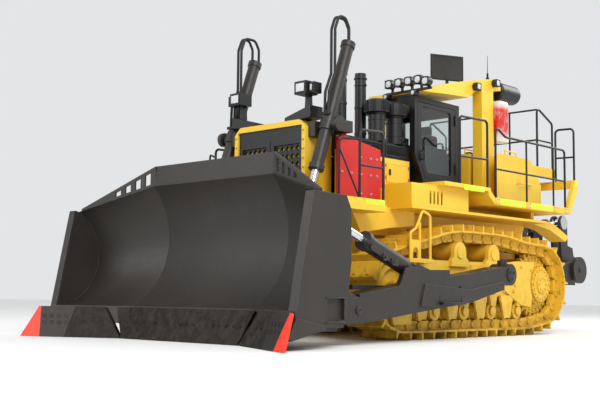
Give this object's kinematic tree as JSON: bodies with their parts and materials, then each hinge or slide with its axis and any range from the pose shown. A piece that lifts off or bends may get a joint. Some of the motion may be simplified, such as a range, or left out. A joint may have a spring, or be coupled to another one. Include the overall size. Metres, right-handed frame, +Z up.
{
  "type": "crawler bulldozer",
  "caption": "Crawler bulldozer with a full U blade on push arms, lift and tilt cylinders, a cab under a roll-over frame and a parallelogram ripper at the rear.",
  "frame": {"origin": "on the ground at the middle of the whole machine, blade and ripper included", "axes": "+X forward towards the blade, +Y to the machine's left, +Z up"},
  "size_m": [10.0093, 5.1578, 4.74],
  "materials": {
    "yellow_paint": "semi-gloss enamel",
    "dark_grey_paint": "satin enamel",
    "black_paint": "satin enamel",
    "bare_steel": "rolled and hardened steel",
    "rod_chrome": "hard chrome",
    "glass": "tinted safety glass",
    "red_paint": "gloss enamel",
    "rubber": "braided hose cover",
    "seat_fabric": "woven seat cover",
    "plastic": "grained moulding"
  },
  "bodies": {
    "hull": {"cab_base": "yellow_paint", "cab_glass": "glass", "cab_shell": "black_paint", "decks": "yellow_paint", "engine_block": "bare_steel", "engine_hood": "dark_grey_paint", "exhaust_stacks": "black_paint", "extinguisher": "red_paint", "fenders": "yellow_paint", "final_drives": "yellow_paint", "front_steps": "yellow_paint", "fuel_tank": "yellow_paint", "handrails": "black_paint", "idlers": "yellow_paint", "lamps": "black_paint", "lift_yokes": "dark_grey_paint", "main_frame": "yellow_paint", "nose_shrouds": "black_paint", "number_board": "black_paint", "operator_console": "plastic", "operator_seat": "seat_fabric", "precleaners": "black_paint", "pressure_unit": "black_paint", "radiator_grille": "dark_grey_paint", "radiator_guard": "yellow_paint", "red_case": "red_paint", "ripper_mount": "dark_grey_paint", "rops_canopy": "yellow_paint", "side_panels": "yellow_paint", "track_frame_left": "yellow_paint", "track_frame_right": "yellow_paint", "track_left": "yellow_paint", "track_right": "yellow_paint", "track_rollers": "yellow_paint"},
    "push_arms": {"push_arms": "dark_grey_paint"},
    "blade": {"moldboard": "dark_grey_paint", "cutting_edges": "bare_steel", "end_bits": "bare_steel", "spill_guard": "dark_grey_paint"},
    "lift_barrels": {"lift_barrels": "dark_grey_paint", "lift_hoses": "rubber"},
    "lift_rods": {"lift_rods": "rod_chrome"},
    "tilt_barrels": {"tilt_barrels": "dark_grey_paint", "tilt_guards": "dark_grey_paint"},
    "tilt_rods": {"tilt_rods": "rod_chrome"},
    "cab_door_left": {"cab_door_left": "black_paint", "door_glass_left": "glass"},
    "cab_door_right": {"cab_door_right": "black_paint", "door_glass_right": "glass"},
    "ripper_arm": {"ripper_arm": "dark_grey_paint"},
    "ripper_pins": {"ripper_pins": "dark_grey_paint"},
    "ripper_beam": {"ripper_beam": "dark_grey_paint", "ripper_shank": "bare_steel"},
    "ripper_lift_barrels": {"ripper_lift_barrels": "dark_grey_paint"},
    "ripper_lift_rods": {"ripper_lift_rods": "rod_chrome"},
    "ripper_tilt_barrels": {"ripper_tilt_barrels": "dark_grey_paint"},
    "ripper_tilt_rods": {"ripper_tilt_rods": "rod_chrome"}
  },
  "joints": [
    {"name": "blade_lift", "type": "hinge", "parent": "hull", "child": "push_arms", "pos_m": [-0.525, 0, 0.95], "axis": [0, -1, 0], "range_deg": [-8, 20]},
    {"name": "blade_pitch", "type": "hinge", "parent": "push_arms", "child": "blade", "pos_m": [3.125, 0, 0.43], "axis": [0, -1, 0], "range_deg": [-5, 5]},
    {"name": "lift_cylinder_swing", "type": "hinge", "parent": "hull", "child": "lift_barrels", "pos_m": [2.485, 0, 2.95], "axis": [0, -1, 0], "range_deg": [-5.53, 13.8]},
    {"name": "lift_rod_slide", "type": "slide", "parent": "lift_barrels", "child": "lift_rods", "axis": [0.3343, 0, -0.9425], "range_m": [-1.2432, 0.4974]},
    {"name": "tilt_cylinder_swing", "type": "hinge", "parent": "push_arms", "child": "tilt_barrels", "pos_m": [1.755, 0, 0.94], "axis": [0, -1, 0], "range_deg": [-2.07, 2.07]},
    {"name": "tilt_rod_slide", "type": "slide", "parent": "tilt_barrels", "child": "tilt_rods", "axis": [0.9392, 0, 0.3433], "range_m": [-0.083, 0.083]},
    {"name": "cab_door_left_hinge", "type": "hinge", "parent": "hull", "child": "cab_door_left", "pos_m": [-0.677, 0.912, 2.4], "axis": [0, 0, 1], "range_deg": [0, 40]},
    {"name": "cab_door_right_hinge", "type": "hinge", "parent": "hull", "child": "cab_door_right", "pos_m": [-0.677, -0.312, 2.4], "axis": [0, 0, -1], "range_deg": [0, 40]},
    {"name": "ripper_lift", "type": "hinge", "parent": "hull", "child": "ripper_arm", "pos_m": [-3.375, 0, 0.95], "axis": [0, 1, 0], "range_deg": [-35, 10]},
    {"name": "ripper_level", "type": "hinge", "parent": "ripper_arm", "child": "ripper_pins", "pos_m": [-4.745, 0, 1.13], "axis": [0, 1, 0], "range_deg": [-10.05, 35.05]},
    {"name": "ripper_pitch", "type": "hinge", "parent": "ripper_pins", "child": "ripper_beam", "pos_m": [-4.745, 0, 1.13], "axis": [0, 1, 0], "range_deg": [-8, 10]},
    {"name": "ripper_lift_cylinder_swing", "type": "hinge", "parent": "hull", "child": "ripper_lift_barrels", "pos_m": [-3.325, 0, 2.15], "axis": [0, 1, 0], "range_deg": [-12.77, 3.66]},
    {"name": "ripper_lift_rod_slide", "type": "slide", "parent": "ripper_lift_barrels", "child": "ripper_lift_rods", "axis": [-0.6921, 0, -0.7218], "range_m": [-0.1259, 0.44]},
    {"name": "ripper_tilt_cylinder_swing", "type": "hinge", "parent": "hull", "child": "ripper_tilt_barrels", "pos_m": [-3.255, 0, 1.85], "axis": [0, 1, 0], "range_deg": [-35.05, 10.05]},
    {"name": "ripper_tilt_rod_slide", "type": "slide", "parent": "ripper_tilt_barrels", "child": "ripper_tilt_rods", "axis": [-0.9915, 0, 0.1303], "range_m": [-0.1579, 0.1264]}
  ],
  "couplings": [
    {"joint": "lift_cylinder_swing", "follows": "blade_lift", "ratio": 0.6892},
    {"joint": "lift_rod_slide", "follows": "blade_lift", "m_per_rad": -3.5611},
    {"joint": "tilt_cylinder_swing", "follows": "blade_pitch", "ratio": 0.4102},
    {"joint": "tilt_rod_slide", "follows": "blade_pitch", "m_per_rad": -0.9491},
    {"joint": "ripper_level", "follows": "ripper_lift", "ratio": -1},
    {"joint": "ripper_lift_cylinder_swing", "follows": "ripper_lift", "ratio": 0.3642},
    {"joint": "ripper_lift_rod_slide", "follows": "ripper_lift", "m_per_rad": -0.72},
    {"joint": "ripper_tilt_cylinder_swing", "follows": "ripper_lift", "ratio": 1},
    {"joint": "ripper_tilt_rod_slide", "follows": "ripper_pitch", "m_per_rad": -0.9038}
  ]
}
